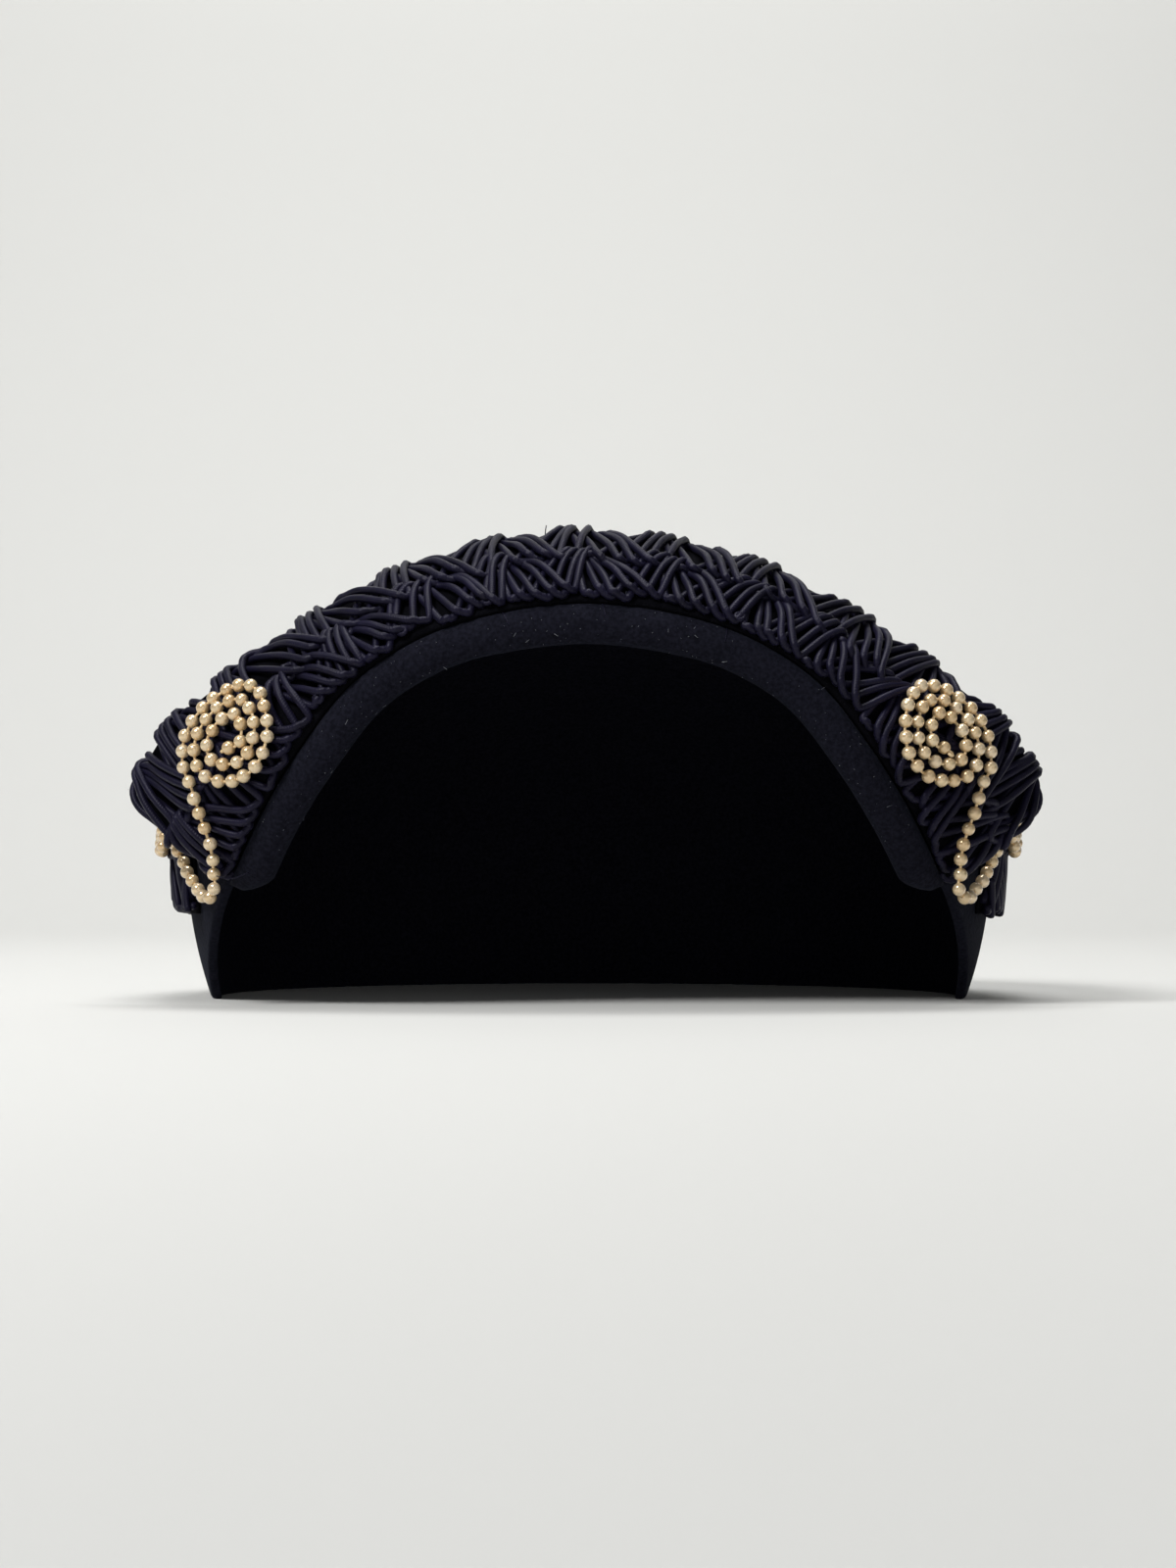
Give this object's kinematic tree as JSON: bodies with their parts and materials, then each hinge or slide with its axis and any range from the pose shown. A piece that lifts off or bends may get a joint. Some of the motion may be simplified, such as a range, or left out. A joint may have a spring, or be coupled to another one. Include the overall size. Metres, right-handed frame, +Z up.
{
  "type": "capulet hat",
  "caption": "Small navy felt cap worn back from the brow, with a turned-up cuff of zig-zag cording over the front arch, a corded side band and a coiled pearl string on each side.",
  "frame": {"origin": "under the middle of the cap's outer box, on the surface that the hem stands on", "axes": "+X towards the cap's left-to-right breadth as seen from the front, front arch towards -Y, +Z up"},
  "size_m": [0.195, 0.1518, 0.0996],
  "materials": {
    "felt": "matte navy-black wool felt",
    "cord": "satin navy rayon cord",
    "pearl": "pearly cream"
  },
  "bodies": {
    "root": {"crown": "felt", "front_rim": "felt", "cuff": "cord", "side_band": "cord", "pearl_string_left": "pearl", "pearl_string_right": "pearl"}
  },
  "joints": []
}
